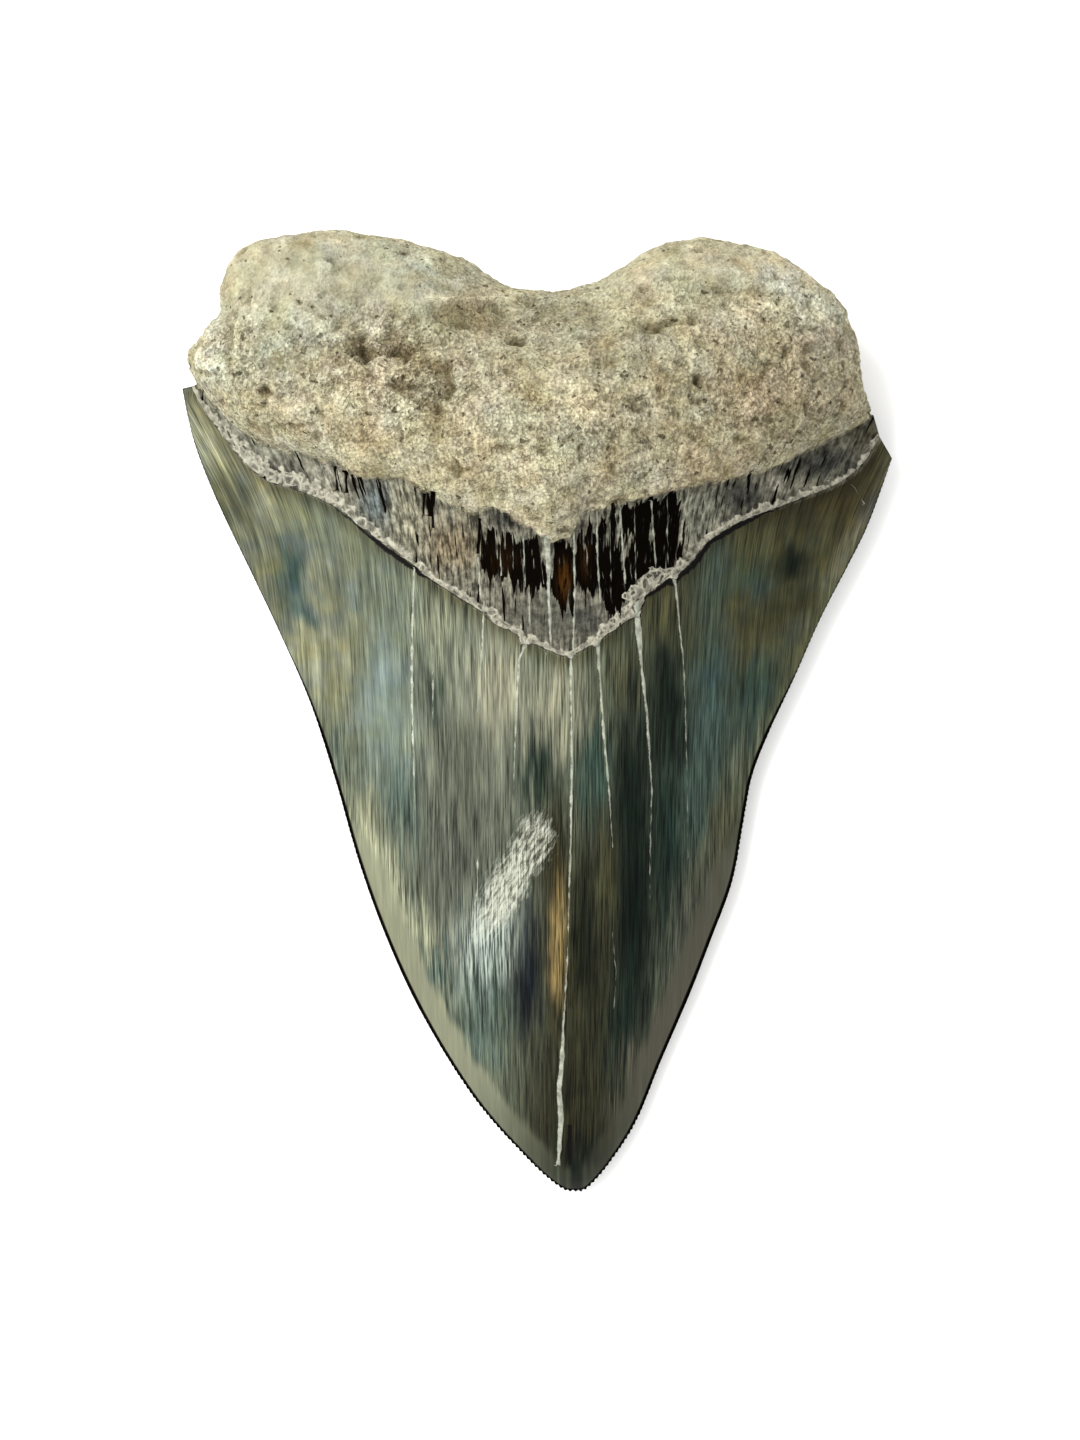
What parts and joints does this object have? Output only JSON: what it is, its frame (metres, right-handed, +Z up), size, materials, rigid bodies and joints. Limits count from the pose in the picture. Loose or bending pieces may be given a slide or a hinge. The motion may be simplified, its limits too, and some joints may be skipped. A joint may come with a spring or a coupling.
{
  "type": "fossil shark tooth",
  "caption": "Large triangular fossil shark tooth with a two-lobed stony root, a dark neck and a serrated enamel crown, lying on its flatter face.",
  "frame": {"origin": "centre of the bounding box in X and Y, at the level of the surface that the tooth rests on", "axes": "+Y from the tip towards the root lobes, +Z up from the surface, out of the domed inner face"},
  "size_m": [0.09, 0.1214, 0.0255],
  "materials": {
    "tooth": "mineralised tooth: glossy olive and blue-grey enamel with fine lengthwise lines and pale cracks, a black-brown neck, and a sandy beige matt root"
  },
  "bodies": {
    "root": {"tooth": "tooth"}
  },
  "joints": []
}
